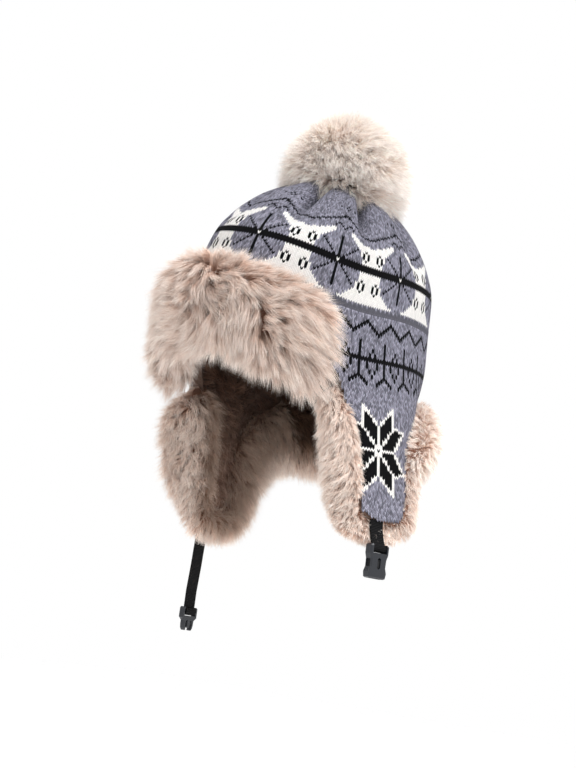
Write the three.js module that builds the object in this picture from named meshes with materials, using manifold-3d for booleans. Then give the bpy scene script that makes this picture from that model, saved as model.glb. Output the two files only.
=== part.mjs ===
// Knitted aviator hat: a gathered knit crown with a fur ball, a knit band that runs down into
// two ear flaps, a fur lining, a turned-up fur front, fur edging and two straps with a buckle.
// Millimetres. +Z up, the wearer's face looks along -Y, the wearer's left is +X. The origin is
// the middle of the head opening, level with the brow rim.
import * as THREE from 'three';
import { mergeVertices } from 'three/addons/utils/BufferGeometryUtils.js';
import Module from 'manifold-3d';

const wasm = await Module();
wasm.setup();

// Head opening and crown
const SEAM_HALF_WIDTH = 94;
const SEAM_HALF_DEPTH = 110;
const CROWN_HEIGHT = 99;
const CROWN_TILT_LEFT = THREE.MathUtils.degToRad(10.2);
const CROWN_TILT_BACK = THREE.MathUtils.degToRad(1);
const GATHERS = 9;
const GATHER_DEPTH = 13;
const GATHER_SHARPNESS = 2.5;
const GATHER_PHASE = 0.01;

// The seam sags below its own leaning plane, most at the left front; place and reach are
// shares of the half girth
const SEAM_SAG = 4;
const SEAM_SAG_LEFT = 8;
const SEAM_SAG_PLACE = 0.33;
const SEAM_SAG_REACH = 0.16;

// Lower edge of the knit, measured down from the middle of the seam
const BROW_DROP = 66;
const FLAP_DROP = 186;
const NAPE_DROP = 72;

// Layers
const KNIT_THICKNESS = 3;
const LINING_THICKNESS = 9;
const FIT_GAP = 0.3;
const LAYER_GAP = 0.4;

// How the wall leans out or in below the ears
const SWING_START = 40;
const SWING_EASE = 30;
const LEFT_SWING = 0.167;
const RIGHT_SWING = -0.087;
const NAPE_SWING = -0.18;

// Fur
const TRIM_WIDTH = 27;
const NAPE_FUR_WIDTH = 55;
const TRIM_PROUD = 13;
const NAPE_PROUD = 24;
const TRIM_SUNK = 2;
const STRAP_CHANNEL = 5;
const TRIM_INWARD = 7;
const FRONT_FUR_ABOVE = 8;
const FRONT_FUR_BELOW = 90;
const FRONT_FUR_THICKNESS = 31;
const FRONT_FUR_REACH = 92;
const POMPOM_RADIUS = 55;
const POMPOM_RISE = 106;
const POMPOM_SHIFT = -4;
const LOCK_HEIGHT = 4.5;
const LOCK_LAY = 5;

// Straps and buckle; the straps' places are shares of the half girth, from the front
const LEFT_STRAP_PLACE = 0.433;
const RIGHT_STRAP_PLACE = 0.46;
const STRAP_WIDTH = 13;
const STRAP_THICKNESS = 1.4;
const LEFT_STRAP_LENGTH = 21;
const RIGHT_STRAP_LENGTH = 86;
const LEFT_STRAP_SWAY = 5;
const RIGHT_STRAP_SWAY = 1.5;
const STRAP_INSET = 1.7;
const BAR_RADIUS = 1.5;
const BAR_INSET = 1.5;
const BUCKLE_WIDTH = 19;
const BUCKLE_THICKNESS = 7.4;
const FEMALE_LENGTH = 23;
const MALE_LENGTH = 16;
const SOCKET_DEPTH = 14;
const SOCKET_WIDTH = 13;
const SOCKET_THICKNESS = 5;
const WINDOW_WIDTH = 3.2;
const WINDOW_LENGTH = 9;

// Crown rows: height and width as shares of the crown, and how deep the gathers are there
const CROWN_ROWS = [
  { height: 0, width: 1, gather: 0 },
  { height: 0.29, width: 0.945, gather: 0 },
  { height: 0.455, width: 0.87, gather: 0.2 },
  { height: 0.59, width: 0.78, gather: 0.5 },
  { height: 0.735, width: 0.65, gather: 0.85 },
  { height: 0.864, width: 0.485, gather: 1 },
  { height: 0.935, width: 0.37, gather: 1 },
  { height: 0.985, width: 0.27, gather: 0.85 },
  { height: 1, width: 0.19, gather: 0.5 },
  { height: 0.94, width: 0.13, gather: 0.15 },
  { height: 0.83, width: 0.07, gather: 0 },
];
const DIMPLE_HEIGHT = 0.775;
const LINING_TOP = 0.725;
const LINED_ROWS = 6;

// Lower outline of one half, front to back. seam and edge are shares of the half girth, at the
// seam and at the knit's edge; reach runs from the rim (0) to the flap's bottom (1); slant is
// the way the edging fur points, in degrees from straight down; nape mixes its two widths; low
// is how flat the edging lies on the outside, where the strap or the front fur passes over it.
const OUTLINE = [
  { seam: 0.262, edge: 0.262, reach: 0.01, slant: -20, nape: 0, low: 1 },
  { seam: 0.296, edge: 0.299, reach: 0.07, slant: -35, nape: 0, low: 1 },
  { seam: 0.324, edge: 0.324, reach: 0.17, slant: -50, nape: 0, low: 1 },
  { seam: 0.346, edge: 0.34, reach: 0.285, slant: -57, nape: 0, low: 0.5 },
  { seam: 0.365, edge: 0.355, reach: 0.4, slant: -61, nape: 0, low: 0 },
  { seam: 0.38, edge: 0.367, reach: 0.55, slant: -63, nape: 0, low: 0 },
  { seam: 0.396, edge: 0.377, reach: 0.745, slant: -63, nape: 0, low: 0 },
  { seam: 0.414, edge: 0.393, reach: 0.96, slant: -56, nape: 0, low: 0.9 },
  { seam: 0.436, edge: 0.418, reach: 1, slant: -33, nape: 0, low: 1 },
  { seam: 0.461, edge: 0.456, reach: 1, slant: -8, nape: 0, low: 1 },
  { seam: 0.486, edge: 0.492, reach: 1, slant: 18, nape: 0, low: 0.9 },
  { seam: 0.508, edge: 0.517, reach: 0.94, slant: 44, nape: 0.02, low: 0 },
  { seam: 0.524, edge: 0.528, reach: 0.8, slant: 55, nape: 0.1, low: 0 },
  { seam: 0.536, edge: 0.533, reach: 0.625, slant: 58, nape: 0.18, low: 0 },
  { seam: 0.548, edge: 0.542, reach: 0.475, slant: 53, nape: 0.34, low: 0 },
  { seam: 0.564, edge: 0.558, reach: 0.38, slant: 50, nape: 0.43, low: 0 },
  { seam: 0.586, edge: 0.58, reach: 0.29, slant: 47, nape: 0.55, low: 0 },
  { seam: 0.614, edge: 0.608, reach: 0.21, slant: 41, nape: 0.71, low: 0 },
  { seam: 0.648, edge: 0.645, reach: 0.14, slant: 36, nape: 0.85, low: 0 },
  { seam: 0.686, edge: 0.686, reach: 0.09, slant: 30, nape: 0.94, low: 0 },
  { seam: 0.726, edge: 0.726, reach: 0.053, slant: 24, nape: 1, low: 0 },
];
const FRONT_STEPS = 7;
const NAPE_STEPS = 7;
const TRIM_FIRST = 2;
const TRIM_LAST = 18;
const FLAP_MIDDLE = 9;
const BAND_ROWS = [0, 0.2, 0.4, 0.6, 0.8, 1];

// Section of the fur edging: across runs from the knit's edge out to the fur's edge, depth from
// the outer face; out is a share of how proud it stands, inward of how far it bulges inside.
const TRIM_SECTION = [
  { across: 0, out: 0.05, inward: 0 },
  { across: 0.14, out: 0.65, inward: 0 },
  { across: 0.42, out: 1, inward: 0 },
  { across: 0.78, out: 0.7, inward: 0 },
  { across: 1, out: 0, inward: -0.55 },
  { across: 0.93, out: 0, inward: 0.3 },
  { across: 0.62, out: 0, inward: 1 },
  { across: 0.25, out: 0, inward: 0.85 },
  { across: 0, out: 0, inward: 0.05 },
];

// Section of the turned-up front fur: up is a share of its reach above or below the seam, out
// of its thickness. The first four points lie against the hat.
const FRONT_SECTION = [
  { up: -0.75, out: 0 },
  { up: -0.4, out: 0 },
  { up: 0, out: 0 },
  { up: 0.72, out: 0 },
  { up: 1, out: 0.3 },
  { up: 0.92, out: 0.72 },
  { up: 0.25, out: 1 },
  { up: -0.25, out: 1.08 },
  { up: -0.58, out: 1.04 },
  { up: -0.86, out: 0.85 },
  { up: -1, out: 0.55 },
  { up: -0.95, out: 0.22 },
];
const FRONT_STATIONS = 15;

const GREY_YARN = new THREE.MeshStandardMaterial({ color: 0x7d7d87, roughness: 0.95, metalness: 0 });
const PALE_FUR = new THREE.MeshStandardMaterial({ color: 0xd3bfaf, roughness: 1, metalness: 0 });
const LINING_FUR = new THREE.MeshStandardMaterial({ color: 0xa98d79, roughness: 1, metalness: 0 });
const WEBBING = new THREE.MeshStandardMaterial({ color: 0x141416, roughness: 0.8, metalness: 0 });
const PLASTIC = new THREE.MeshStandardMaterial({ color: 0x2b3138, roughness: 0.35, metalness: 0 });

const { smoothstep, lerp, clamp, degToRad } = THREE.MathUtils;

// Arc length round the seam, from the front centre, as a table of angle against length
const SEAM_TABLE = [{ angle: 0, length: 0 }];
const SEAM_TABLE_STEPS = 720;
for (let i = 1; i <= SEAM_TABLE_STEPS; i += 1) {
  const angle = (Math.PI * i) / SEAM_TABLE_STEPS;
  const before = SEAM_TABLE[i - 1];
  const dx = SEAM_HALF_WIDTH * (Math.sin(angle) - Math.sin(before.angle));
  const dy = SEAM_HALF_DEPTH * (Math.cos(before.angle) - Math.cos(angle));
  SEAM_TABLE.push({ angle, length: before.length + Math.hypot(dx, dy) });
}
const HALF_GIRTH = SEAM_TABLE[SEAM_TABLE_STEPS].length;

// The angle at an arc length; the front is 0 and the wearer's left side is positive
function seamAngle(length) {
  const wanted = clamp(Math.abs(length), 0, HALF_GIRTH);
  let high = SEAM_TABLE.findIndex((row) => row.length >= wanted);
  high = Math.max(high, 1);
  const a = SEAM_TABLE[high - 1];
  const b = SEAM_TABLE[high];
  const share = (wanted - a.length) / (b.length - a.length);
  return Math.sign(length) * lerp(a.angle, b.angle, share);
}

// The seam's plan point at an arc length, and the level direction straight out of the wall
function seamPoint(length) {
  const angle = seamAngle(length);
  const point = new THREE.Vector3(
    SEAM_HALF_WIDTH * Math.sin(angle), -SEAM_HALF_DEPTH * Math.cos(angle), 0);
  const out = new THREE.Vector3(
    Math.sin(angle) / SEAM_HALF_WIDTH, -Math.cos(angle) / SEAM_HALF_DEPTH, 0).normalize();
  return { angle, point, out };
}

const TILT = new THREE.Matrix4().makeRotationX(-CROWN_TILT_BACK)
  .multiply(new THREE.Matrix4().makeRotationY(CROWN_TILT_LEFT));

// From the crown's own frame, whose origin is the middle of the seam, to the hat's
function tilted(point) {
  return point.clone().applyMatrix4(TILT).setZ(point.clone().applyMatrix4(TILT).z + BROW_DROP);
}

// How deep a gather's crease is at an arc length, 0 on the crest and 1 in the crease
function creaseShare(length) {
  const turn = length / HALF_GIRTH - GATHER_PHASE;
  return Math.pow(0.5 + 0.5 * Math.cos(Math.PI * (GATHERS * turn + 1)), GATHER_SHARPNESS);
}

function rowPoint(row) {
  return { width: CROWN_ROWS[row].width, height: CROWN_ROWS[row].height * CROWN_HEIGHT };
}

// The crown's outward direction at a row, in the plane of radius and height
function rowNormal(row) {
  const mean = (SEAM_HALF_WIDTH + SEAM_HALF_DEPTH) / 2;
  const below = rowPoint(Math.max(row - 1, 0));
  const above = row + 1 < CROWN_ROWS.length
    ? rowPoint(row + 1) : { width: 0, height: DIMPLE_HEIGHT * CROWN_HEIGHT };
  const normal = new THREE.Vector2(above.height - below.height, (below.width - above.width) * mean);
  return row === 0 ? new THREE.Vector2(1, 0) : normal.normalize();
}

// A point of the crown in its own frame, moved out by offset and in by its gather
function crownPoint(length, row, offset, gatherShare) {
  const { point, out } = seamPoint(length);
  const { width, height } = rowPoint(row);
  const normal = rowNormal(row);
  const depth = offset - gatherShare * CROWN_ROWS[row].gather * GATHER_DEPTH;
  return point.multiplyScalar(width).addScaledVector(out, normal.x * depth)
    .setZ(height + normal.y * depth);
}

// How far below the middle of the seam the tilted seam lies, at an arc length and offset
function seamDrop(length, offset) {
  const { point, out } = seamPoint(length);
  return BROW_DROP - tilted(point.addScaledVector(out, offset)).z;
}

// How far the seam sags below its plane at an arc length
function seamSag(length) {
  const away = (length / HALF_GIRTH - SEAM_SAG_PLACE) / SEAM_SAG_REACH;
  return SEAM_SAG + SEAM_SAG_LEFT * Math.exp(-away * away);
}

// How much the wall leans out, per millimetre of drop, at an angle
function swing(angle) {
  const turn = Math.abs(angle);
  const side = smoothstep(turn, degToRad(20), degToRad(75));
  const back = smoothstep(turn, degToRad(100), degToRad(130));
  const ear = angle > 0 ? LEFT_SWING : RIGHT_SWING;
  return ear * side * (1 - back) + NAPE_SWING * back;
}

// A point of the band's wall, below the seam: upright, then swinging, with the seam's own
// tilted plan eased in at the top
function wallPoint(length, drop, offset) {
  const { angle, point, out } = seamPoint(length);
  const level = point.clone().addScaledVector(out, offset);
  const top = tilted(level);
  const below = Math.max(drop - SWING_START, 0);
  const eased = below < SWING_EASE ? (below * below) / (2 * SWING_EASE) : below - SWING_EASE / 2;
  level.addScaledVector(out, swing(angle) * eased);
  const upright = smoothstep(drop - seamDrop(length, 0), 0, SWING_START);
  level.x = lerp(top.x, level.x, upright);
  level.y = lerp(top.y, level.y, upright);
  return level.setZ(BROW_DROP - drop);
}

// The columns of one half, then of the whole hat, from the front centre round to the back
function halfColumns() {
  const first = OUTLINE[0];
  const last = OUTLINE[OUTLINE.length - 1];
  const columns = [];
  for (let i = 0; i < FRONT_STEPS; i += 1) {
    const share = i / FRONT_STEPS;
    columns.push({ ...first, seam: first.seam * share, edge: first.edge * share, reach: 0 });
  }
  columns.push(...OUTLINE);
  for (let i = 1; i <= NAPE_STEPS; i += 1) {
    const share = i / NAPE_STEPS;
    const place = lerp(last.seam, 1, share);
    columns.push({ ...last, seam: place, edge: place, reach: lerp(last.reach, 0, share),
      slant: last.slant * (1 - share) });
  }
  return columns.map((row, i) => {
    const rim = i < FRONT_STEPS + FLAP_MIDDLE ? BROW_DROP : NAPE_DROP;
    return { ...row, seam: row.seam * HALF_GIRTH, edge: row.edge * HALF_GIRTH,
      drop: lerp(rim, FLAP_DROP, row.reach) };
  });
}

function mirrored(column) {
  return { ...column, seam: -column.seam, edge: -column.edge, slant: -column.slant };
}

const HALF = halfColumns();
const COLUMNS = [...HALF, ...HALF.slice(1, -1).reverse().map(mirrored)];

// A point of the band on the ruled line of a column, 0 at the seam and 1 at the knit's edge
function bandPoint(column, share, offset) {
  const length = lerp(column.seam, column.edge, smoothstep(share, 0, 1));
  const seam = seamDrop(length, offset) + seamSag(length);
  return wallPoint(length, share === 0 ? seam + FIT_GAP : lerp(seam, column.drop, share), offset);
}

// A closed solid under construction: points, and faces wound so that they face out
class Solid {
  constructor() {
    this.points = [];
    this.faces = [];
  }

  ring(points) {
    const start = this.points.length;
    this.points.push(...points);
    return points.map((_, i) => start + i);
  }

  point(point) {
    return this.ring([point])[0];
  }

  quad(a, b, c, d) {
    this.faces.push([a, b, c], [a, c, d]);
  }

  // A lock of fur on a facet: a low pyramid whose tip is drawn along the lay
  lock(a, b, c, d, tip) {
    const top = this.point(tip);
    this.faces.push([a, b, top], [b, c, top], [c, d, top], [d, a, top]);
  }

  centre(indices) {
    const sum = new THREE.Vector3();
    indices.forEach((i) => sum.add(this.points[i]));
    return sum.divideScalar(indices.length);
  }

  // Joins two rings of equal count; closed says whether they run right round
  skirt(lower, upper, closed) {
    const count = lower.length;
    const last = closed ? count : count - 1;
    for (let i = 0; i < last; i += 1) {
      const next = (i + 1) % count;
      this.quad(lower[i], lower[next], upper[next], upper[i]);
    }
  }

  fan(ring, tip) {
    const top = this.point(tip);
    ring.forEach((a, i) => this.faces.push([a, ring[(i + 1) % ring.length], top]));
  }

  geometry() {
    let volume = 0;
    this.faces.forEach(([a, b, c]) => {
      const cross = this.points[b].clone().cross(this.points[c]);
      volume += this.points[a].dot(cross);
    });
    const faces = volume < 0 ? this.faces.map(([a, b, c]) => [a, c, b]) : this.faces;
    const flat = this.points.flatMap((p) => [p.x, p.y, p.z]);
    const geometry = new THREE.BufferGeometry();
    geometry.setAttribute('position', new THREE.Float32BufferAttribute(flat, 3));
    geometry.setIndex(faces.flat());
    return geometry;
  }
}

// A shell open at the bottom: an outer and an inner stack of rings, each closed at its top
function cap(outerRings, outerTop, innerRings, innerTop) {
  const solid = new Solid();
  const outer = outerRings.map((ring) => solid.ring(ring));
  const inner = innerRings.map((ring) => solid.ring([...ring].reverse()));
  outer.slice(1).forEach((ring, i) => solid.skirt(outer[i], ring, true));
  inner.slice(1).forEach((ring, i) => solid.skirt(inner[i], ring, true));
  solid.fan(outer[outer.length - 1], outerTop);
  solid.fan(inner[inner.length - 1], innerTop);
  solid.skirt([...inner[0]].reverse(), outer[0], true);
  return solid.geometry();
}

// A band open at both ends, between an outer and an inner stack of rings
function sleeve(outerRings, innerRings) {
  const solid = new Solid();
  const outer = outerRings.map((ring) => solid.ring(ring));
  const inner = innerRings.map((ring) => solid.ring(ring));
  const loop = [...outer, ...inner.reverse()];
  loop.forEach((ring, i) => solid.skirt(ring, loop[(i + 1) % loop.length], true));
  return solid.geometry();
}

function crownRings(offset) {
  const sagging = COLUMNS.map(({ seam }) =>
    wallPoint(seam, seamDrop(seam, offset) + seamSag(seam), offset));
  const rows = CROWN_ROWS.map((_, row) => COLUMNS.map((column) =>
    tilted(crownPoint(column.seam, row, offset, creaseShare(column.seam)))));
  return [sagging, ...rows];
}

function crownKnit() {
  const dimple = (offset) => tilted(new THREE.Vector3(0, 0, DIMPLE_HEIGHT * CROWN_HEIGHT + offset));
  return cap(crownRings(0), dimple(0), crownRings(-KNIT_THICKNESS), dimple(-KNIT_THICKNESS));
}

function bandRings(offset) {
  return BAND_ROWS.map((share) => COLUMNS.map((column) => bandPoint(column, share, offset)));
}

function bandKnit() {
  return sleeve(bandRings(0), bandRings(-KNIT_THICKNESS));
}

// The lining follows the band's inside down to the knit's edge, and above the seam lies inside
// the deepest crease of each crown row
function liningRings(offset) {
  const below = BAND_ROWS.slice(1).reverse().map((share) =>
    COLUMNS.map((column) => bandPoint(column, share, offset)));
  const above = CROWN_ROWS.slice(0, LINED_ROWS).map((_, row) =>
    COLUMNS.map((column) => tilted(crownPoint(column.seam, row, offset, 1))));
  return [...below, ...above];
}

function furLining() {
  const outside = -KNIT_THICKNESS - LAYER_GAP;
  const inside = outside - LINING_THICKNESS;
  const top = (drop) => tilted(new THREE.Vector3(0, 0, LINING_TOP * CROWN_HEIGHT - drop));
  return cap(liningRings(outside), top(0), liningRings(inside), top(LINING_THICKNESS));
}

// One ring of the fur edging at a column: a section from the knit's edge to the fur's edge
function trimRing(column) {
  const width = lerp(TRIM_WIDTH, NAPE_FUR_WIDTH, column.nape);
  const slant = degToRad(column.slant);
  const wall = KNIT_THICKNESS + LAYER_GAP + LINING_THICKNESS;
  const proud = lerp(lerp(TRIM_PROUD, NAPE_PROUD, column.nape), -TRIM_SUNK, column.low);
  const clear = (2 * FIT_GAP) / width;
  return TRIM_SECTION.map(({ across, out, inward }, i) => {
    const reach = width * (clear + across * (1 - clear));
    const length = column.edge + Math.sin(slant) * reach;
    const drop = column.drop + Math.cos(slant) * reach;
    const onInside = i >= TRIM_SECTION.length / 2;
    const tip = across === 1;
    const offset = tip ? -wall * 0.45
      : onInside ? -wall - inward * TRIM_INWARD : out * proud - column.low * STRAP_CHANNEL;
    return wallPoint(length, drop, offset);
  });
}

// The column between two others, for an end that falls between them
function betweenColumns(a, b, share) {
  const mix = {};
  Object.keys(a).forEach((key) => { mix[key] = lerp(a[key], b[key], share); });
  return mix;
}

// Fur edging along a run of columns, with a lock on each facet that isn't against the knit
function furTrim(columns) {
  const solid = new Solid();
  const rings = columns.map((column) => solid.ring(trimRing(column)));
  const count = TRIM_SECTION.length;
  for (let i = 0; i + 1 < rings.length; i += 1) {
    const flat = Math.max(columns[i].low, columns[i + 1].low) > 0.6;
    const middle = solid.centre([...rings[i], ...rings[i + 1]]);
    for (let j = 0; j < count; j += 1) {
      const next = (j + 1) % count;
      const corners = [rings[i][j], rings[i + 1][j], rings[i + 1][next], rings[i][next]];
      const furry = j > 0 && j < count - 2 && !(flat && j < 4);
      if (furry) {
        const facet = solid.centre(corners);
        const out = facet.clone().sub(middle).normalize();
        const lay = new THREE.Vector3(0, 0, -LOCK_LAY);
        solid.lock(...corners, facet.addScaledVector(out, LOCK_HEIGHT).add(lay));
      } else {
        solid.quad(...corners);
      }
    }
  }
  const first = rings[0];
  const last = rings[rings.length - 1];
  solid.fan(first, solid.centre(first));
  solid.fan([...last].reverse(), solid.centre(last));
  return solid.geometry();
}

const FLAP_COLUMNS = HALF.slice(FRONT_STEPS + TRIM_FIRST, FRONT_STEPS + TRIM_LAST + 1);
const NAPE_HALF = HALF.slice(FRONT_STEPS + TRIM_LAST + 1);
const JOIN = [HALF[FRONT_STEPS + TRIM_LAST], HALF[FRONT_STEPS + TRIM_LAST + 1]];

function flapTrim(side) {
  const columns = [...FLAP_COLUMNS, betweenColumns(...JOIN, 0.45)];
  return furTrim(side > 0 ? columns : columns.map(mirrored));
}

function napeTrim() {
  const left = [betweenColumns(...JOIN, 0.5), ...NAPE_HALF];
  const right = left.slice(0, -1).reverse().map(mirrored);
  return furTrim([...left, ...right]);
}

// A point on the outside of the hat at a height above or below the seam
function hatPoint(length, rise, offset) {
  if (rise <= 0) {
    return wallPoint(length, seamDrop(length, offset) - rise, offset);
  }
  const low = rowPoint(0);
  const high = rowPoint(1);
  const { point, out } = seamPoint(length);
  const width = lerp(low.width, high.width, rise / high.height);
  return tilted(point.multiplyScalar(width).addScaledVector(out, offset).setZ(rise));
}

// The turned-up front fur: a thick pad bent round the front of the hat, with rounded ends
function frontFur() {
  const solid = new Solid();
  const rings = [];
  for (let i = 0; i < FRONT_STATIONS; i += 1) {
    const place = lerp(-1, 1, i / (FRONT_STATIONS - 1));
    const round = Math.sqrt(1 - Math.pow(Math.abs(place), 3) * 0.86);
    rings.push(solid.ring(FRONT_SECTION.map(({ up, out }) => {
      const rise = up > 0
        ? up * FRONT_FUR_ABOVE * lerp(0.3, 1, round) : up * FRONT_FUR_BELOW * lerp(0.65, 1, round);
      const offset = 2 * FIT_GAP + out * FRONT_FUR_THICKNESS * lerp(0.25, 1, round);
      return hatPoint(place * FRONT_FUR_REACH, rise, offset);
    })));
  }
  const count = FRONT_SECTION.length;
  for (let i = 0; i + 1 < rings.length; i += 1) {
    const middle = solid.centre([...rings[i], ...rings[i + 1]]);
    for (let j = 0; j < count; j += 1) {
      const next = (j + 1) % count;
      const corners = [rings[i][j], rings[i + 1][j], rings[i + 1][next], rings[i][next]];
      if (j > 3 && j < count - 1) {
        const facet = solid.centre(corners);
        const out = facet.clone().sub(middle).normalize();
        const lay = new THREE.Vector3(0, 0, -LOCK_LAY);
        solid.lock(...corners, facet.addScaledVector(out, LOCK_HEIGHT).add(lay));
      } else {
        solid.quad(...corners);
      }
    }
  }
  const last = rings[rings.length - 1];
  solid.fan(rings[0], solid.centre(rings[0]));
  solid.fan([...last].reverse(), solid.centre(last));
  return solid.geometry();
}

// The crown's crest height at a plan point of its own frame
function crestHeight(x, y) {
  const width = Math.hypot(x / SEAM_HALF_WIDTH, y / SEAM_HALF_DEPTH);
  const rows = CROWN_ROWS.slice(0, 9);
  const high = rows.findIndex((row) => row.width <= width);
  if (high < 1) {
    return high === 0 ? 0 : CROWN_HEIGHT;
  }
  const share = (rows[high - 1].width - width) / (rows[high - 1].width - rows[high].width);
  return lerp(rows[high - 1].height, rows[high].height, share) * CROWN_HEIGHT;
}

// The fur ball: rings of locks round the crown's own axis, flattened where it sits on the crests
function pompom() {
  const solid = new Solid();
  const around = 22;
  const polar = [22, 42, 60, 77, 94, 110].map(degToRad);
  const under = [6, 7, 8];
  const seat = (point) => point.setZ(Math.max(point.z, crestHeight(point.x, point.y) + 3 * FIT_GAP));
  const onBall = (angle, turn, radius) => new THREE.Vector3(
    POMPOM_SHIFT + radius * Math.sin(angle) * Math.cos(turn),
    radius * Math.sin(angle) * Math.sin(turn), POMPOM_RISE + radius * Math.cos(angle));
  const turns = Array.from({ length: around }, (_, i) => (2 * Math.PI * i) / around);
  const rings = polar.map((angle, row) => solid.ring(turns.map((turn) =>
    tilted(seat(onBall(angle, turn + (row % 2) * 0.14, POMPOM_RADIUS))))));
  const middle = tilted(new THREE.Vector3(POMPOM_SHIFT, 0, POMPOM_RISE));
  rings.slice(1).forEach((ring, row) => {
    ring.forEach((_, i) => {
      const next = (i + 1) % around;
      const corners = [ring[i], ring[next], rings[row][next], rings[row][i]];
      if (row < polar.length - 2) {
        const facet = solid.centre(corners);
        const out = facet.clone().sub(middle).normalize();
        solid.lock(...corners, facet.addScaledVector(out, LOCK_HEIGHT));
      } else {
        solid.quad(...corners);
      }
    });
  });
  let above = rings[rings.length - 1];
  under.forEach((row) => {
    const { width, height } = rowPoint(row);
    const ring = solid.ring(turns.map((turn) => tilted(new THREE.Vector3(
      SEAM_HALF_WIDTH * width * Math.cos(turn), SEAM_HALF_DEPTH * width * Math.sin(turn),
      height + 3 * FIT_GAP))));
    solid.skirt(ring, above, true);
    above = ring;
  });
  const seatTop = tilted(new THREE.Vector3(0, 0, CROWN_HEIGHT + 3 * FIT_GAP));
  solid.fan([...above].reverse(), seatTop);
  const crest = new THREE.Vector3(POMPOM_SHIFT, 0, POMPOM_RISE + POMPOM_RADIUS + LOCK_HEIGHT);
  solid.fan(rings[0], tilted(crest));
  return solid.geometry();
}

// Where a strap hangs, as an arc length round the seam
function strapPlace(side) {
  return side > 0 ? LEFT_STRAP_PLACE * HALF_GIRTH : -RIGHT_STRAP_PLACE * HALF_GIRTH;
}

// A strap seen from its edge: its centre line from the knit's edge to the buckle's bar, as
// offsets out of the wall's plane against drop, then a loop sewn round the bar
function strapLine(side) {
  const length = side > 0 ? LEFT_STRAP_LENGTH : RIGHT_STRAP_LENGTH;
  const top = FLAP_DROP + 1.5 * FIT_GAP;
  const lean = swing(seamAngle(strapPlace(side)));
  const wall = (drop) => lean * (drop - SWING_START - SWING_EASE / 2);
  const start = wall(top) - STRAP_INSET;
  const sway = side > 0 ? LEFT_STRAP_SWAY : RIGHT_STRAP_SWAY;
  const steps = [
    { out: 0, down: 0 }, { out: side > 0 ? 0.12 : 0.05, down: 0.3 },
    { out: side > 0 ? 0.45 : 0.4, down: 0.55 }, { out: side > 0 ? 0.85 : 1.1, down: 0.8 },
    { out: 1, down: 1 },
  ];
  return steps.map(({ out, down }) => new THREE.Vector2(start + out * sway, -top - down * length));
}

const LOOP_HOLE = BAR_RADIUS + 1.5 * FIT_GAP;
const LOOP_RADIUS = LOOP_HOLE + STRAP_THICKNESS;

function strap(side) {
  const line = strapLine(side);
  const bar = line[line.length - 1];
  const half = STRAP_THICKNESS / 2;
  const left = [];
  const right = [];
  line.slice(0, -1).forEach((point, i) => {
    const before = line[Math.max(i - 1, 0)];
    const along = line[i + 1].clone().sub(before).normalize();
    left.push(new THREE.Vector2(point.x + along.y * half, point.y - along.x * half));
    right.push(new THREE.Vector2(point.x - along.y * half, point.y + along.x * half));
  });
  const open = Math.asin(half / LOOP_RADIUS);
  const loop = Array.from({ length: 13 }, (_, i) => {
    const turn = Math.PI / 2 + open + ((2 * Math.PI - 2 * open) * i) / 12;
    return new THREE.Vector2(
      bar.x + LOOP_RADIUS * Math.cos(turn), bar.y + LOOP_RADIUS * Math.sin(turn));
  });
  const outline = new THREE.Shape([...left, ...loop, ...right.reverse()]);
  const hole = Array.from({ length: 12 }, (_, i) => new THREE.Vector2(
    bar.x + LOOP_HOLE * Math.cos((-Math.PI * i) / 6), bar.y + LOOP_HOLE * Math.sin((-Math.PI * i) / 6)));
  outline.holes.push(new THREE.Path(hole));
  const geometry = new THREE.ExtrudeGeometry(outline, { depth: STRAP_WIDTH, bevelEnabled: false });
  geometry.translate(0, 0, -STRAP_WIDTH / 2);
  // The outline's x is out of the wall and its y is up; the strap's width runs along the wall
  geometry.applyMatrix4(new THREE.Matrix4().makeBasis(
    new THREE.Vector3(1, 0, 0), new THREE.Vector3(0, 0, 1), new THREE.Vector3(0, -1, 0)));
  return geometry;
}

// Turns a geometry into a manifold solid, and back
function solidOf(geometry) {
  const bare = geometry.clone();
  bare.deleteAttribute('normal');
  bare.deleteAttribute('uv');
  const merged = mergeVertices(bare, 1e-4);
  return new wasm.Manifold(new wasm.Mesh({
    numProp: 3,
    vertProperties: new Float32Array(merged.attributes.position.array),
    triVerts: new Uint32Array(merged.index.array),
  }));
}

function geometryOf(solid) {
  const mesh = solid.getMesh();
  const geometry = new THREE.BufferGeometry();
  geometry.setAttribute('position', new THREE.Float32BufferAttribute(mesh.vertProperties, 3));
  geometry.setIndex(Array.from(mesh.triVerts));
  return geometry;
}

function block(width, thickness, height, x, y, z) {
  return solidOf(new THREE.BoxGeometry(thickness, width, height).translate(x, y, z));
}

// A plate cut to an outline of width against height, thick along x, with its edges eased
function plate(points, thickness, ease) {
  const shape = new THREE.Shape(points.map(([y, z]) => new THREE.Vector2(y, z)));
  const geometry = new THREE.ExtrudeGeometry(shape, {
    depth: thickness - 2 * ease, bevelEnabled: true, bevelSize: ease, bevelThickness: ease,
    bevelOffset: -ease, bevelSegments: 1, curveSegments: 6 });
  geometry.translate(0, 0, -(thickness - 2 * ease) / 2);
  geometry.applyMatrix4(new THREE.Matrix4().makeBasis(
    new THREE.Vector3(0, 1, 0), new THREE.Vector3(0, 0, 1), new THREE.Vector3(1, 0, 0)));
  return solidOf(geometry);
}

// The strap's bar between two arms, cut clear all round for the loop. The bar is the origin.
function barFrame(body, width) {
  const opening = STRAP_WIDTH + 4 * FIT_GAP;
  const clear = LOOP_RADIUS + 1.5 * FIT_GAP;
  const cut = block(opening, 2 * BUCKLE_THICKNESS, 2 * clear, 0, 0, 0);
  const rod = new THREE.CylinderGeometry(BAR_RADIUS, BAR_RADIUS, width - 2 * BAR_INSET, 8);
  return body.subtract(cut).add(solidOf(rod));
}

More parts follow.
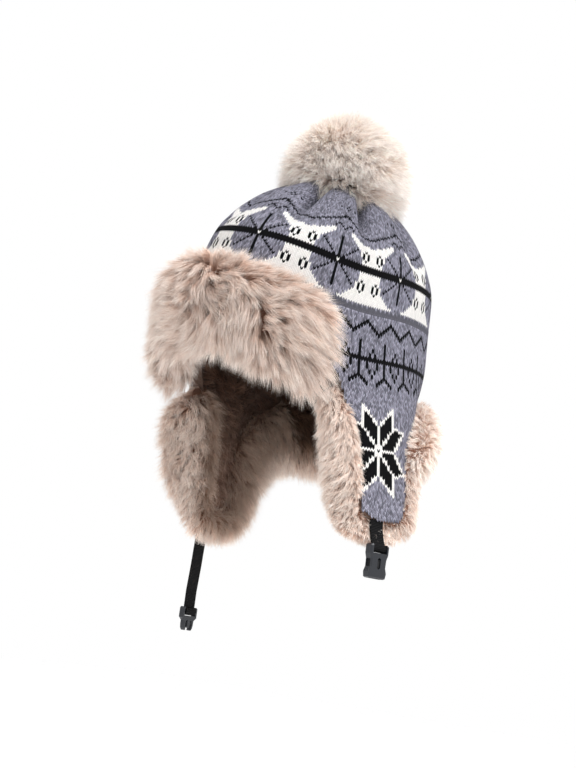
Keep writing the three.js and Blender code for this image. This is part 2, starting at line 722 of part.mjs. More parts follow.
// Half outlines, as shares of the width and length below the bar
const FEMALE_HALF = [
  [0.4, 0.13], [0.5, 0.08], [0.5, -0.2], [0.43, -0.36], [0.42, -0.62], [0.5, -0.8], [0.46, -0.97],
  [0.36, -1],
];
const MALE_HALF = [
  [0.44, 0.22], [0.5, 0.16], [0.5, -0.34], [0.4, -0.42], [0.33, -0.5], [0.33, -0.68], [0.3, -0.88],
  [0.22, -1], [0.17, -0.97], [0.24, -0.66], [0.19, -0.5], [0.1, -0.46], [0.09, -0.82], [0.045, -0.87],
];

function bothHalves(half, width, length) {
  const one = half.map(([across, down]) => [across * width, down * length]);
  const other = [...one].reverse().map(([across, down]) => [-across, down]);
  return [...other, ...one];
}

function femaleBuckle() {
  const body = plate(bothHalves(FEMALE_HALF, BUCKLE_WIDTH, FEMALE_LENGTH), BUCKLE_THICKNESS, 1);
  const socketMiddle = -FEMALE_LENGTH + SOCKET_DEPTH / 2;
  const socket = block(SOCKET_WIDTH, SOCKET_THICKNESS, SOCKET_DEPTH + 1, 0, 0, socketMiddle - 0.5);
  const catches = block(BUCKLE_WIDTH + 2, SOCKET_THICKNESS - 0.6, SOCKET_DEPTH * 0.42, 0, 0,
    -FEMALE_LENGTH * 0.5);
  const side = WINDOW_WIDTH / 2;
  const end = WINDOW_LENGTH / 2;
  const window = plate([
    [-side, -end * 0.75], [0, -end], [side, -end * 0.75], [side, end * 0.75], [0, end],
    [-side, end * 0.75]], BUCKLE_THICKNESS, 0.2)
    .translate(BUCKLE_THICKNESS / 2, 0, -FEMALE_LENGTH * 0.5);
  return geometryOf(barFrame(body, BUCKLE_WIDTH).subtract(socket).subtract(catches).subtract(window));
}

function maleBuckle() {
  const outline = bothHalves(MALE_HALF, BUCKLE_WIDTH, MALE_LENGTH);
  const body = plate(outline, SOCKET_THICKNESS - 2 * FIT_GAP, 0.3);
  return geometryOf(barFrame(body, BUCKLE_WIDTH));
}

const hat = new THREE.Group();

function addPiece(name, geometry, material) {
  const mesh = new THREE.Mesh(geometry, material);
  mesh.name = name;
  hat.add(mesh);
  return mesh;
}

// Places a strap or buckle in the upright plane through the wall where its strap hangs
function hangOnWall(mesh, side, out, down) {
  const { point, out: direction } = seamPoint(strapPlace(side));
  mesh.position.copy(point).addScaledVector(direction, out).setZ(BROW_DROP + down);
  mesh.rotation.z = Math.atan2(direction.y, direction.x);
}

addPiece('crown_knit', crownKnit(), GREY_YARN);
addPiece('band_knit', bandKnit(), GREY_YARN);
addPiece('fur_lining', furLining(), LINING_FUR);
addPiece('front_fur', frontFur(), PALE_FUR);
addPiece('trim_left', flapTrim(1), PALE_FUR);
addPiece('trim_right', flapTrim(-1), PALE_FUR);
addPiece('trim_nape', napeTrim(), PALE_FUR);
addPiece('pompom', pompom(), PALE_FUR);
hangOnWall(addPiece('strap_left', strap(1), WEBBING), 1, 0, 0);
hangOnWall(addPiece('strap_right', strap(-1), WEBBING), -1, 0, 0);

const leftBar = strapLine(1).pop();
const rightBar = strapLine(-1).pop();
hangOnWall(addPiece('buckle_female', femaleBuckle(), PLASTIC), 1, leftBar.x, leftBar.y);
hangOnWall(addPiece('buckle_male', maleBuckle(), PLASTIC), -1, rightBar.x, rightBar.y);

export default hat;
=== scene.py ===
import math

import bpy
import numpy as np
from mathutils import Matrix, Vector, kdtree


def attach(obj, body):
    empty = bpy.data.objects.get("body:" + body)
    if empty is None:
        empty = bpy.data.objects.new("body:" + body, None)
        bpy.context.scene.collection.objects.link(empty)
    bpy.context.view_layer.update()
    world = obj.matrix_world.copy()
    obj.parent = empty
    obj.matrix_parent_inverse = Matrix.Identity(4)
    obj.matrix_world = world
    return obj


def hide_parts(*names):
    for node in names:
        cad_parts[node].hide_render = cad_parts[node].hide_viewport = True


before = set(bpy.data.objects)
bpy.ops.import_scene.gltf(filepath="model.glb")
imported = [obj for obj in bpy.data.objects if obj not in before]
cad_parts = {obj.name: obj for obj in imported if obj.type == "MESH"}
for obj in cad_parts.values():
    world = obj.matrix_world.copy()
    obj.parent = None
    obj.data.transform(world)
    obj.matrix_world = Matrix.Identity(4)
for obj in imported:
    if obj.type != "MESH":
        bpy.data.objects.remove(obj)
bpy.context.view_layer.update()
bpy.ops.object.select_all(action="DESELECT")

# Camera
# A portrait lens 1.2 m from the hat, a little below it, with the picture turned 8 degrees.
# SHIFT_RIGHT and SHIFT_UP are how far the seam's middle shows from the picture's middle.
DISTANCE, SEAM_MIDDLE, SHIFT_RIGHT, SHIFT_UP = 1.2, Vector((0, 0, 0.066)), 0.0229, 0.0716
turn, tip, roll = math.radians(41), math.radians(-10), math.radians(8)
back = Vector((math.sin(turn) * math.cos(tip), -math.cos(turn) * math.cos(tip), math.sin(tip)))
level = Vector((math.cos(turn), math.sin(turn), 0))
above = back.cross(level)
right = level * math.cos(roll) + above * math.sin(roll)
up = above * math.cos(roll) - level * math.sin(roll)
aim = SEAM_MIDDLE - right * SHIFT_RIGHT - up * SHIFT_UP
lens = bpy.data.cameras.new("camera")
lens.lens, lens.sensor_width = 66.33, 36
lens.clip_start, lens.clip_end = 0.05, 60
camera = bpy.data.objects.new("camera", lens)
bpy.context.scene.collection.objects.link(camera)
axes = Matrix((right, up, back)).transposed().to_4x4()
camera.matrix_world = Matrix.Translation(aim + back * DISTANCE) @ axes
bpy.context.scene.camera = camera

# Crown knit
# One tube of machine-knit wool in a charted pattern, gathered to a point under the fur ball.
# Its wales run up from the seam; each stitch is two slanted legs. Lengths are in millimetres
# until a mesh is made. A place on the seam is its arc length from the middle of the front,
# positive on the wearer's left.
SEAM_HALF_WIDTH, SEAM_HALF_DEPTH, SEAM_HEIGHT = 94.0, 110.0, 66.0
SEAM_SAG, SEAM_SAG_LEFT, SEAM_SAG_PLACE, SEAM_SAG_REACH = 4, 8, 0.33, 0.16
CROWN_HEIGHT, GATHER_DEPTH, GATHERS, GATHER_PHASE = 99.0, 13.0, 9, 0.01
LEAN_LEFT, LEAN_BACK = math.radians(10.2), math.radians(1)
REPEATS, REPEAT_WALES = 9, 28
WALES = REPEATS * REPEAT_WALES
ROW = 1.9
LEG_SLANT = 1.8
# Below this drop the wall swings out over the left ear and in elsewhere, by these slopes
SWING_START, SWING_EASE = 40, 30
LEFT_SWING, RIGHT_SWING, NAPE_SWING = 0.167, -0.087, -0.18
EAR_FROM, EAR_TO, NAPE_FROM, NAPE_TO = 20, 75, 100, 130
LEAN_FADE = 40
# How far the knit is drawn round at the left front, and how far its stitches rest back
DRAWN, DRAWN_PLACE, DRAWN_REACH, DRAWN_REST = 9, 47, 68, 2

seam_angles = np.linspace(0, math.pi, 721)
seam_steps = np.hypot(
    np.diff(SEAM_HALF_WIDTH * np.sin(seam_angles)), np.diff(SEAM_HALF_DEPTH * np.cos(seam_angles)))
seam_lengths = np.concatenate([[0], np.cumsum(seam_steps)])
HALF_GIRTH = seam_lengths[-1]
WALE = 2 * HALF_GIRTH / WALES


def smoothstep(value, low, high):
    """0 up to low, 1 from high on, and a smooth rise between them."""
    share = np.clip((value - low) / (high - low), 0, 1)
    return share * share * (3 - 2 * share)


def unit(vectors):
    """Vectors of the same directions, 1 long."""
    return vectors / np.maximum(np.linalg.norm(vectors, axis=-1, keepdims=True), 1e-9)


def seam_line(length):
    """The angle, plan point and outward direction at arc lengths round the seam."""
    around = (length + HALF_GIRTH) % (2 * HALF_GIRTH) - HALF_GIRTH
    angle = np.sign(around) * np.interp(np.abs(around), seam_lengths, seam_angles)
    sine, cosine = np.sin(angle), np.cos(angle)
    flat = np.zeros_like(sine)
    point = np.stack([SEAM_HALF_WIDTH * sine, -SEAM_HALF_DEPTH * cosine, flat], -1)
    out = unit(np.stack([sine / SEAM_HALF_WIDTH, -cosine / SEAM_HALF_DEPTH, flat], -1))
    return angle, point, out


def leaned(point):
    """From the crown's own upright frame to the hat's, in which it leans to the left."""
    x, y, z = point[..., 0], point[..., 1], point[..., 2]
    cosine, sine = math.cos(LEAN_LEFT), math.sin(LEAN_LEFT)
    x, z = x * cosine + z * sine, z * cosine - x * sine
    cosine, sine = math.cos(LEAN_BACK), math.sin(LEAN_BACK)
    y, z = y * cosine + z * sine, z * cosine - y * sine
    return np.stack([x, y, z + SEAM_HEIGHT], -1)


def through(table, steps, closed=False):
    """A smooth curve through the rows of a table, with so many steps between two rows."""
    table = np.asarray(table, float)
    if closed:
        before, after = table[-1:], table[:2]
    else:
        before, after = 2 * table[:1] - table[1:2], 2 * table[-1:] - table[-2:-1]
    rows = np.concatenate([before, table, after])
    t = (np.arange(steps) / steps).reshape((-1,) + (1,) * (table.ndim - 1))
    parts = []
    for a, b, c, d in zip(rows, rows[1:], rows[2:], rows[3:]):
        parts.append(b + 0.5 * t * (c - a + t * (2 * a - 5 * b + 4 * c - d + t * (3 * (b - c) + d - a))))
    if not closed:
        parts.append(table[-1:])
    return np.concatenate(parts)


def seam_drop(length, offset=0.0):
    """How far below the middle of the seam the leaning seam lies."""
    point, out = seam_line(length)[1:]
    offset = np.broadcast_to(np.asarray(offset, float), np.shape(length))[..., None]
    return SEAM_HEIGHT - leaned(point + out * offset)[..., 2]


def seam_sag(length):
    """How far the welt sags below that leaning seam, most at the left front."""
    around = (length + HALF_GIRTH) % (2 * HALF_GIRTH) - HALF_GIRTH
    away = (around / HALF_GIRTH - SEAM_SAG_PLACE) / SEAM_SAG_REACH
    return SEAM_SAG + SEAM_SAG_LEFT * np.exp(-away ** 2)


def wall_place(length, drop, offset=0.0):
    """Points of the wall below the seam, at drops below the seam's middle."""
    angle, point, out = seam_line(length)
    offset = np.broadcast_to(np.asarray(offset, float), np.shape(length))[..., None]
    wall = point + out * offset
    seam = leaned(wall)
    below = np.maximum(drop - SWING_START, 0)
    eased = np.where(below < SWING_EASE, below ** 2 / (2 * SWING_EASE), below - SWING_EASE / 2)
    turn_by = np.degrees(np.abs(angle))
    at_back = smoothstep(turn_by, NAPE_FROM, NAPE_TO)
    ear = np.where(angle > 0, LEFT_SWING, RIGHT_SWING)
    swing = ear * smoothstep(turn_by, EAR_FROM, EAR_TO) * (1 - at_back) + NAPE_SWING * at_back
    wall = wall + out * (swing * eased)[..., None]
    upright = smoothstep(drop - seam_drop(length), 0, LEAN_FADE)[..., None]
    wall = seam + (wall - seam) * upright
    wall[..., 2] = SEAM_HEIGHT - drop
    return wall


# Height and width as shares of the crown, and how deep its gathers are
CROWN_ROWS = [
    (0, 1, 0), (0.29, 0.945, 0), (0.455, 0.87, 0.2), (0.59, 0.78, 0.5), (0.735, 0.65, 0.85),
    (0.864, 0.485, 1), (0.935, 0.37, 1), (0.985, 0.27, 0.85), (1, 0.19, 0.5), (0.94, 0.13, 0.15),
    (0.83, 0.07, 0)]
crown_curve = through(CROWN_ROWS, 24)
crown_heights, crown_widths, crown_gathers = crown_curve.T
MEAN_HALF_WIDTH = (SEAM_HALF_WIDTH + SEAM_HALF_DEPTH) / 2
rise, run = np.gradient(crown_heights * CROWN_HEIGHT), np.gradient(crown_widths * MEAN_HALF_WIDTH)
crown_normals = unit(np.stack([rise, -run], -1))
crown_climb = np.concatenate([[0], np.cumsum(np.hypot(
    np.diff(crown_heights * CROWN_HEIGHT), np.diff(crown_widths * MEAN_HALF_WIDTH)))])


def crease(length, climb):
    """How deep the gathers' creases are, 0 on a crest and about 1.2 in a crease."""
    wander = 2.6 * np.sin(length / 41.0 + 1.3) * smoothstep(climb, 40, 110)
    turns = (length + wander) / HALF_GIRTH - GATHER_PHASE
    wide = 0.5 - 0.5 * np.cos(math.pi * GATHERS * turns)
    small = (0.5 - 0.5 * np.cos(math.pi * GATHERS * 3 * turns)) * 0.07 * smoothstep(climb, 75, 120)
    return wide ** 8 * 0.85 + wide ** 2 * 0.3 + small


def crown_place(length, climb, offset=0.0):
    """Points of the crown at arc lengths round the seam and climbs up its wall."""
    point, out = seam_line(length)[1:]
    height = np.interp(climb, crown_climb, crown_heights) * CROWN_HEIGHT
    width = np.interp(climb, crown_climb, crown_widths)
    gather = np.interp(climb, crown_climb, crown_gathers)
    outward = np.interp(climb, crown_climb, crown_normals[:, 0])
    upward = np.interp(climb, crown_climb, crown_normals[:, 1])
    depth = offset - crease(length, climb) * gather * GATHER_DEPTH
    placed = point * width[..., None] + out * (outward * depth)[..., None]
    placed[..., 2] = height + upward * depth
    under_seam = wall_place(length, seam_drop(length) - np.minimum(climb, 0), offset)
    return np.where((climb < 0)[..., None], under_seam, leaned(placed))


def drawn(length):
    """How far round the knit is drawn at the left front, where it is stretched over the brow."""
    return DRAWN * np.exp(-((length - DRAWN_PLACE) / DRAWN_REACH) ** 2) - DRAWN_REST


def linear(red, green, blue):
    """A colour as Blender takes it, from the usual 0 to 255."""
    value = np.array([red, green, blue]) / 255
    return np.where(value <= 0.04045, value / 12.92, ((value + 0.055) / 1.055) ** 2.4)


GREY, BLACK, CREAM, DARK = 0, 1, 2, 3
YARNS = np.array([linear(136, 135, 149), linear(8, 8, 11), linear(250, 247, 244), linear(98, 97, 106)])


def yarn_colours(chart, rng):
    """A colour for both legs of each stitch of a chart; the grey yarn is spun of two tones."""
    legs = np.repeat(chart, 2, axis=1)
    colour = YARNS[legs]
    tone = rng.random(legs.shape)
    fleck = np.where(tone < 0.28, 0.56, np.where(tone > 0.76, 1.5, 1.0)) * rng.uniform(0.9, 1.1, legs.shape)
    plain = rng.uniform(0.92, 1.06, legs.shape)
    return colour * np.where(legs == GREY, fleck, plain)[..., None]


def mesh_object(name, points, quads, tris=None, uv=None, colour=None):
    """An object from arrays: points in millimetres, then faces of four and of three corners."""
    quads = np.asarray(quads, np.int32).reshape(-1, 4)
    tris = np.asarray([] if tris is None else tris, np.int32).reshape(-1, 3)
    mesh = bpy.data.meshes.new(name)
    mesh.vertices.add(len(points))
    mesh.vertices.foreach_set("co", np.asarray(points, np.float32).ravel() * 0.001)
    mesh.loops.add(quads.size + tris.size)
    mesh.loops.foreach_set("vertex_index", np.concatenate([quads.ravel(), tris.ravel()]))
    starts = np.concatenate([np.arange(len(quads)) * 4, quads.size + np.arange(len(tris)) * 3])
    mesh.polygons.add(len(starts))
    mesh.polygons.foreach_set("loop_start", starts.astype(np.int32))
    mesh.polygons.foreach_set("use_smooth", np.full(len(starts), True))
    if uv is not None:
        mesh.uv_layers.new(name="stitch").data.foreach_set("uv", uv.astype(np.float32).ravel())
    if colour is not None:
        domain = "POINT" if len(colour) == len(points) else "CORNER"
        layer = mesh.color_attributes.new("tint", "FLOAT_COLOR", domain)
        full = np.concatenate([colour, np.ones((len(colour), 1))], 1)
        layer.data.foreach_set("color", full.astype(np.float32).ravel())
    mesh.update(calc_edges=True)
    piece = bpy.data.objects.new(name, mesh)
    bpy.context.scene.collection.objects.link(piece)
    return piece


def crown_painted_shade(length, climb):
    """Painted shade: the knit's colour is darkened down in the creases, where little light reaches."""
    gather = np.interp(climb, crown_climb, crown_gathers)
    return 1 - 0.5 * np.clip(crease(length, climb) * gather, 0, 1) ** 1.6


def knitted(name, chart, place, heights, upward, seed, keep=None, tone=None):
    """Knits a chart round the hat: place() gives points from arc lengths and heights, keep
    says which stitches are knitted, and tone() darkens their colour with painted shade."""
    rows = len(chart)
    columns = 2 * WALES
    length = (np.arange(columns) - WALES) * WALE / 2
    slant = np.where(np.arange(columns) % 2 == 0, 0.5, -0.5) * LEG_SLANT
    fade = np.clip(np.arange(rows + 1), 0, 1)[:, None]
    height = heights[:, None] + slant[None] * fade * (1 if upward else -1)
    points = place(np.broadcast_to(length, height.shape), height).reshape(-1, 3)
    here = np.arange((rows + 1) * columns).reshape(rows + 1, columns)
    after = np.roll(here, -1, axis=1)
    corners = [here[:-1], after[:-1], after[1:], here[1:]]
    side = np.broadcast_to(np.arange(columns) % 2, (rows, columns))
    u_here, u_after = 1.0 - side, side * 1.0
    low, high = np.zeros((rows, columns)), np.ones((rows, columns))
    uv = np.stack([np.stack([u_here, low], -1), np.stack([u_after, low], -1),
                   np.stack([u_after, high], -1), np.stack([u_here, high], -1)], 2)
    quads = np.stack(corners, -1)
    colour = yarn_colours(chart, np.random.default_rng(seed))
    # Painted shade: tone() darkens the stitches' colours where little light reaches
    if tone is not None:
        colour = colour * tone(np.broadcast_to(length, colour.shape[:2]), height[1:])[..., None]
    mask = np.ones((rows, columns), bool) if keep is None else np.repeat(keep, 2, axis=1)
    quads, uv, colour = quads[mask], uv[mask], colour[mask]
    if not upward:
        quads, uv = quads[:, ::-1], uv[:, ::-1]
    used, quads = np.unique(quads, return_inverse=True)
    return mesh_object(name, points[used], quads.reshape(-1, 4), uv=uv.reshape(-1, 2),
                       colour=np.repeat(colour, 4, axis=0))


class Wire:
    """What leaves a node's output; arithmetic on it adds Math nodes to its material."""

    def __init__(self, tree, socket):
        self.tree, self.socket = tree, socket

    def make(self, kind, settings, values, output=0):
        """Adds a node of a kind with its settings, then its values and links."""
        node = self.tree.nodes.new("ShaderNode" + kind)
        for key, value in settings.items():
            setattr(node, key, value)
        for key, value in values.items():
            if isinstance(value, Wire):
                self.tree.links.new(value.socket, node.inputs[key])
            else:
                node.inputs[key].default_value = value
        return Wire(self.tree, node.outputs[output])

    def math(self, operation, *others):
        return self.make("Math", {"operation": operation}, dict(enumerate((self, *others))))

    def __add__(self, other):
        return self.math("ADD", other)

    def __sub__(self, other):
        return self.math("SUBTRACT", other)

    def __rsub__(self, other):
        return self * -1.0 + other

    def __mul__(self, other):
        return self.math("MULTIPLY", other)

    def __pow__(self, other):
        return self.math("POWER", other)

    __radd__ = __add__
    __rmul__ = __mul__


def finish_of(name, roughness):
    """A new material, its main shader and a wire to start from."""
    item = bpy.data.materials.new(name)
    item.use_nodes = True
    shader = item.node_tree.nodes["Principled BSDF"]
    shader.inputs["Roughness"].default_value = roughness
    return item, shader, Wire(item.node_tree, None)


def plug(shader, name, wire):
    wire.tree.links.new(wire.socket, shader.inputs[name])


def wool():
    """Matt wool with a little loose fibre; its colour is darkened with painted shade in the gaps between
    the legs and towards each leg's ends.
    """
    item, shader, start = finish_of("wool", 0.95)
    tint = start.make("Attribute", {"attribute_name": "tint"}, {})
    stitch = start.make("UVMap", {"uv_map": "stitch"}, {})
    across = start.make("SeparateXYZ", {}, {0: stitch}, 0)
    along = start.make("SeparateXYZ", {}, {0: stitch}, 1)
    middle, end = (along * 2.0 - 1.0).math("ABSOLUTE"), (across * 2.0 - 1.0).math("ABSOLUTE")
    round_leg = 1.0 - middle ** 2.0
    ends = 1.0 - end ** 3.0
    place = start.make("TexCoord", {}, {}, "Object")
    fibre = start.make("TexNoise", {}, {"Vector": place, "Scale": 1400.0, "Detail": 2.0})
    height = round_leg ** 0.5 * (ends * 0.7 + 0.3) + fibre * 0.2
    # Painted shade: the colour is darker in the gaps between the legs and towards each leg's ends
    painted_leg_shade = (ends * 0.46 + 0.64) * (round_leg * 0.3 + 0.8) * (fibre * 0.2 + 0.9)
    dyed = start.make("VectorMath", {"operation": "SCALE"}, {0: tint, "Scale": painted_leg_shade})
    plug(shader, "Base Color", dyed)
    shader.inputs["Specular IOR Level"].default_value = 0.1
    plug(shader, "Normal", start.make("Bump", {}, {"Height": height, "Distance": 0.001, "Strength": 1.0}))
    return item


# The chart's main line, and where round the seam a disc's middle is
MAIN_ROW, DISC_PLACE = 16, 12.0


def crown_chart(rows):
    """The charted pattern, in rows from the main line and wales from a disc's middle."""
    row = np.arange(rows)[:, None] - MAIN_ROW
    place = (np.arange(WALES)[None] + 0.5) * WALE - HALF_GIRTH
    wale = np.round((place - DISC_PLACE) / WALE)
    wale = (wale + REPEAT_WALES / 2) % REPEAT_WALES - REPEAT_WALES / 2
    off = np.abs(wale)
    chart = np.full((rows, WALES), GREY)
    # Grey discs on cream, whose upper fields narrow to horns beside each disc
    disc = (off / np.where(row > 0, 9.6, 10)) ** 2 + (row / np.where(row > 0, 12.8, 13.4)) ** 2 <= 1
    upper = (row > 0) & (row <= 9.2 + 4.2 * (14 - off) / 9.5) & (off >= 4)
    chart[(upper | (row < 0)) & ~disc] = CREAM
    # Each disc's eight spokes, the main line through them and the cream stitch in the middle
    chart[disc & (off == np.abs(row)) & (off < 8)] = BLACK
    chart[(off == 0) & (np.abs(row) <= 10)] = BLACK
    chart[np.broadcast_to(np.abs(row) <= 1, chart.shape)] = BLACK
    chart[(off == 0) & (row == 0)] = CREAM
    # Small diamonds in pairs, above and below the main line
    for middle in (5, -7):
        up = np.abs(row - middle)
        chart[((np.abs(off - 11) == 1) & (up <= 1)) | ((off == 11) & (up == 2))] = BLACK
    # A wavering line and chevrons over the discs, then small marks near the ball
    chart[np.abs(row - 21 + off * 7.3 / 14) < 0.55] = BLACK
    chart[(np.abs(row - 16.4 + np.abs(off % 5 - 2.5)) < 0.6) & (off < 5)] = BLACK
    chart[np.abs(row - 26) + off == 1] = BLACK
    chart[np.abs(row - 26) + np.abs(off - 4) < 1] = BLACK
    # The welt at the seam
    chart[:2] = DARK
    chart[2, ::2] = DARK
    chart[2, 1::2] = GREY
    return chart


def crown_stitch(length, climb):
    """Where a stitch of the crown lies: drawn round, and sagging with the seam low down."""
    length = length + drawn(length)
    return crown_place(length, climb - seam_sag(length) * np.clip(1 - climb / SAG_FADE, 0, 1))


# Even rows up to the gathers, then a few long ones down into the dimple under the ball
EVEN_ROWS, DIMPLE_ROWS, SAG_FADE = 68, 8, 110
crown_row_heights = np.concatenate([
    np.arange(EVEN_ROWS + 1) * ROW, np.linspace(EVEN_ROWS * ROW, crown_climb[-1], DIMPLE_ROWS + 1)[1:]])
# The crown's colours carry painted shade down in its creases
crown_piece = knitted(
    "crown_wool", crown_chart(len(crown_row_heights) - 1), crown_stitch, crown_row_heights, True,
    seed=11, tone=lambda length, climb: crown_painted_shade(length + drawn(length), climb))
wool_finish = wool()
crown_piece.data.materials.append(wool_finish)
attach(crown_piece, "root")
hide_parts("crown_knit")

# Band knit
# The same wool goes on down from the seam: short over the brow and nape, long over the ears
# as two flaps, each with a star. Its edge is turned in under the fur edging.
BROW_DROP, FLAP_DROP, NAPE_DROP = 66.0, 186.0, 72.0
# Shares of the half girth at the seam and the edge, reach down the flap, slant of the fur,
# how far it is nape fur, and how flat it lies under a strap or the front fur. The first rows,
# up to the flap's middle, rise to the brow and the others to the nape.
FLAP_MIDDLE = 9
OUTLINE = np.array([
    (0.262, 0.262, 0.01, -20, 0, 1), (0.296, 0.299, 0.07, -35, 0, 1), (0.324, 0.324, 0.17, -50, 0, 1),
    (0.346, 0.34, 0.285, -57, 0, 0.5), (0.365, 0.355, 0.4, -61, 0, 0), (0.38, 0.367, 0.55, -63, 0, 0),
    (0.396, 0.377, 0.745, -63, 0, 0), (0.414, 0.393, 0.96, -56, 0, 0.9), (0.436, 0.418, 1, -33, 0, 1),
    (0.461, 0.456, 1, -8, 0, 1), (0.486, 0.492, 1, 18, 0, 0.9), (0.508, 0.517, 0.94, 44, 0.02, 0),
    (0.524, 0.528, 0.8, 55, 0.1, 0), (0.536, 0.533, 0.625, 58, 0.18, 0), (0.548, 0.542, 0.475, 53, 0.34, 0),
    (0.564, 0.558, 0.38, 50, 0.43, 0), (0.586, 0.58, 0.29, 47, 0.55, 0), (0.614, 0.608, 0.21, 41, 0.71, 0),
    (0.648, 0.645, 0.14, 36, 0.85, 0), (0.686, 0.686, 0.09, 30, 0.94, 0), (0.726, 0.726, 0.053, 24, 1, 0)])
outline_rims = np.where(np.arange(len(OUTLINE)) < FLAP_MIDDLE, BROW_DROP, NAPE_DROP)
outline_drops = outline_rims + (FLAP_DROP - outline_rims) * OUTLINE[:, 2]
edge_places = np.concatenate([[0], OUTLINE[:, 1] * HALF_GIRTH, [HALF_GIRTH]])
edge_drops = np.concatenate([[BROW_DROP], outline_drops, [NAPE_DROP]])

# Arc length of a flap's middle, and the row of its star's middle
FLAP_PLACE, STAR_ROW = 140, 56


def band_chart(rows):
    """The band's pattern, in rows down from the welt and wales from a flap's middle."""
    row = np.arange(rows)[:, None]
    place = (np.arange(WALES)[None] + 0.5) * WALE - HALF_GIRTH
    wale = np.round((np.abs(place) - FLAP_PLACE) / WALE)
    bar = np.abs((wale + 3) % 10 - 5)
    gem = 5 - bar
    saw = np.abs((wale + 1) % 10 - 5)
    chart = np.full((rows, WALES), GREY)
    # A zigzag, then bars with feet and diamonds between them, crossed by a line
    chart[(row - saw >= 2) & (row - saw <= 3)] = BLACK
    chart[(bar == 0) & (row >= 11) & (row <= 26)] = BLACK
    chart[(row - bar >= 25) & (row - bar <= 26) & (bar <= 3)] = BLACK
    side = np.clip(np.round(np.minimum(row - 14, 26 - row) * 0.45), 0, 2)
    chart[(gem == side) & (row >= 14) & (row <= 26)] = BLACK
    chart[np.broadcast_to((row == 18) | (row == 19), chart.shape)] = BLACK
    # The star: eight black petals, each edged with cream, given by one quarter's corners
    x = np.abs(np.broadcast_to(wale, chart.shape))
    y = np.abs(np.broadcast_to(row - STAR_ROW, chart.shape))
    near_star = x < 14
    petals = [[(0, 0), (0, 10), (6, 18), (6, 9.6)], [(0, 0), (6, 9.6), (11.3, 9.4), (6.4, 0)]]
    for petal in petals:
        inside = np.ones(chart.shape, bool)
        nearest = np.full(chart.shape, 1e9)
        for (ax, ay), (bx, by) in zip(petal, petal[1:] + petal[:1]):
            dx, dy = bx - ax, by - ay
            cross = dx * (y - ay) - dy * (x - ax)
            inside &= cross <= 0
            share = np.clip(((x - ax) * dx + (y - ay) * dy) / (dx * dx + dy * dy), 0, 1)
            nearest = np.minimum(nearest, np.hypot(x - ax - share * dx, y - ay - share * dy))
        chart[near_star & inside & (nearest > 0.5)] = BLACK
        chart[near_star & (nearest <= 0.5)] = CREAM
    chart[near_star & (x < 1) & (y < 1)] = BLACK
    return chart


BAND_ROWS = 96
band_heights = np.arange(BAND_ROWS + 1) * ROW
band_middle = (np.arange(WALES) + 0.5) * WALE - HALF_GIRTH
band_edge = np.interp(np.abs(band_middle), edge_places, edge_drops)
band_edge = band_edge - seam_drop(band_middle) - seam_sag(band_middle)
band_piece = knitted(
    "band_wool", band_chart(BAND_ROWS),
    lambda length, down: wall_place(length, seam_drop(length) + seam_sag(length) + down),
    band_heights, False, keep=(band_heights[:-1, None] + ROW / 2 < band_edge[None]), seed=12)
band_piece.data.materials.append(wool_finish)
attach(band_piece, "root")
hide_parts("band_knit")

# Front fur
# A pad of long artificial fur, turned up over the brow and sewn along its top. Its pile lies
# down and forward in tousled locks with pale tips; the backing is given a dark brown as painted
# shade, since it shows only in shade.
FUR_ROOT, FUR_MIDDLE, FUR_TIP = linear(148, 108, 88), linear(214, 184, 166), linear(252, 243, 236)
# Painted shade: the backing's dark brown stands in for the shade under the pile
FUR_BACKING_SHADE = linear(136, 100, 82)
# Section of the pad: shares of its reach up or down, and of its thickness
FRONT_SECTION = [
    (-0.75, 0), (-0.4, 0), (0, 0), (0.72, 0), (1, 0.3), (0.92, 0.72), (0.25, 1), (-0.25, 1.08),
    (-0.58, 1.04), (-0.86, 0.85), (-1, 0.55), (-0.95, 0.22)]


def grid_normals(grid, closed):
    """Unit normals of a grid of points, whose second way round may be closed."""
    ahead = np.gradient(grid, axis=0)
    if closed:
        aside = (np.roll(grid, -1, axis=1) - np.roll(grid, 1, axis=1)) / 2
    else:
        aside = np.gradient(grid, axis=1)
    return unit(np.cross(ahead, aside))


def grid_faces(rows, columns, closed):
    here = np.arange(rows * columns).reshape(rows, columns)
    after = np.roll(here, -1, axis=1)
    last = columns if closed else columns - 1
    here, after = here[:, :last], after[:, :last]
    return np.stack([here[:-1], after[:-1], after[1:], here[1:]], -1).reshape(-1, 4)


def capped(grid):
    """Points and faces of a tube of rings with a fan over each end, facing out."""
    rows, columns, _ = grid.shape
    points = np.concatenate([grid.reshape(-1, 3), grid[0].mean(0)[None], grid[-1].mean(0)[None]])
    quads = grid_faces(rows, columns, True)
    ring = np.arange(columns)
    first = np.stack([np.roll(ring, -1), ring, np.full(columns, rows * columns)], -1)
    start = (rows - 1) * columns
    last = np.stack([start + ring, start + np.roll(ring, -1), np.full(columns, rows * columns + 1)], -1)
    return points, quads, np.concatenate([first, last])


def scatter(rng, grid, closed, count, weight=None):
    """Random places on a grid of points: position, normal, a way to mix the grid's other
    values there, and the share of the way along the grid's rows."""
    normals = grid_normals(grid, closed)
    rows, columns, _ = grid.shape
    last = columns if closed else columns - 1
    after = np.roll(grid, -1, axis=1)
    spans = np.cross(after[:-1, :last] - grid[:-1, :last], grid[1:, :last] - grid[:-1, :last])
    area = np.linalg.norm(spans, axis=-1)
    if weight is not None:
        area = area * weight[:-1, :last]
    chosen = rng.choice(area.size, count, p=(area / area.sum()).ravel())
    i, j = chosen // last, chosen % last
    a, b = rng.random(count), rng.random(count)
    k = (j + 1) % columns

    def mixed(values):
        a_, b_ = (a, b) if values.ndim == 2 else (a[:, None], b[:, None])
        low = values[i, j] * (1 - b_) + values[i, k] * b_
        high = values[i + 1, j] * (1 - b_) + values[i + 1, k] * b_
        return low * (1 - a_) + high * a_

    return mixed(grid), unit(mixed(normals)), mixed, (i + a) / (rows - 1)


def facing(normal, way):
    """Normals turned round where they point away from the way that they should face."""
    return np.where((normal * way).sum(-1, keepdims=True) < 0, -normal, normal)


def laid(way, normal):
    """The part of each direction that lies along the surface."""
    return way - normal * (way * normal).sum(-1, keepdims=True)


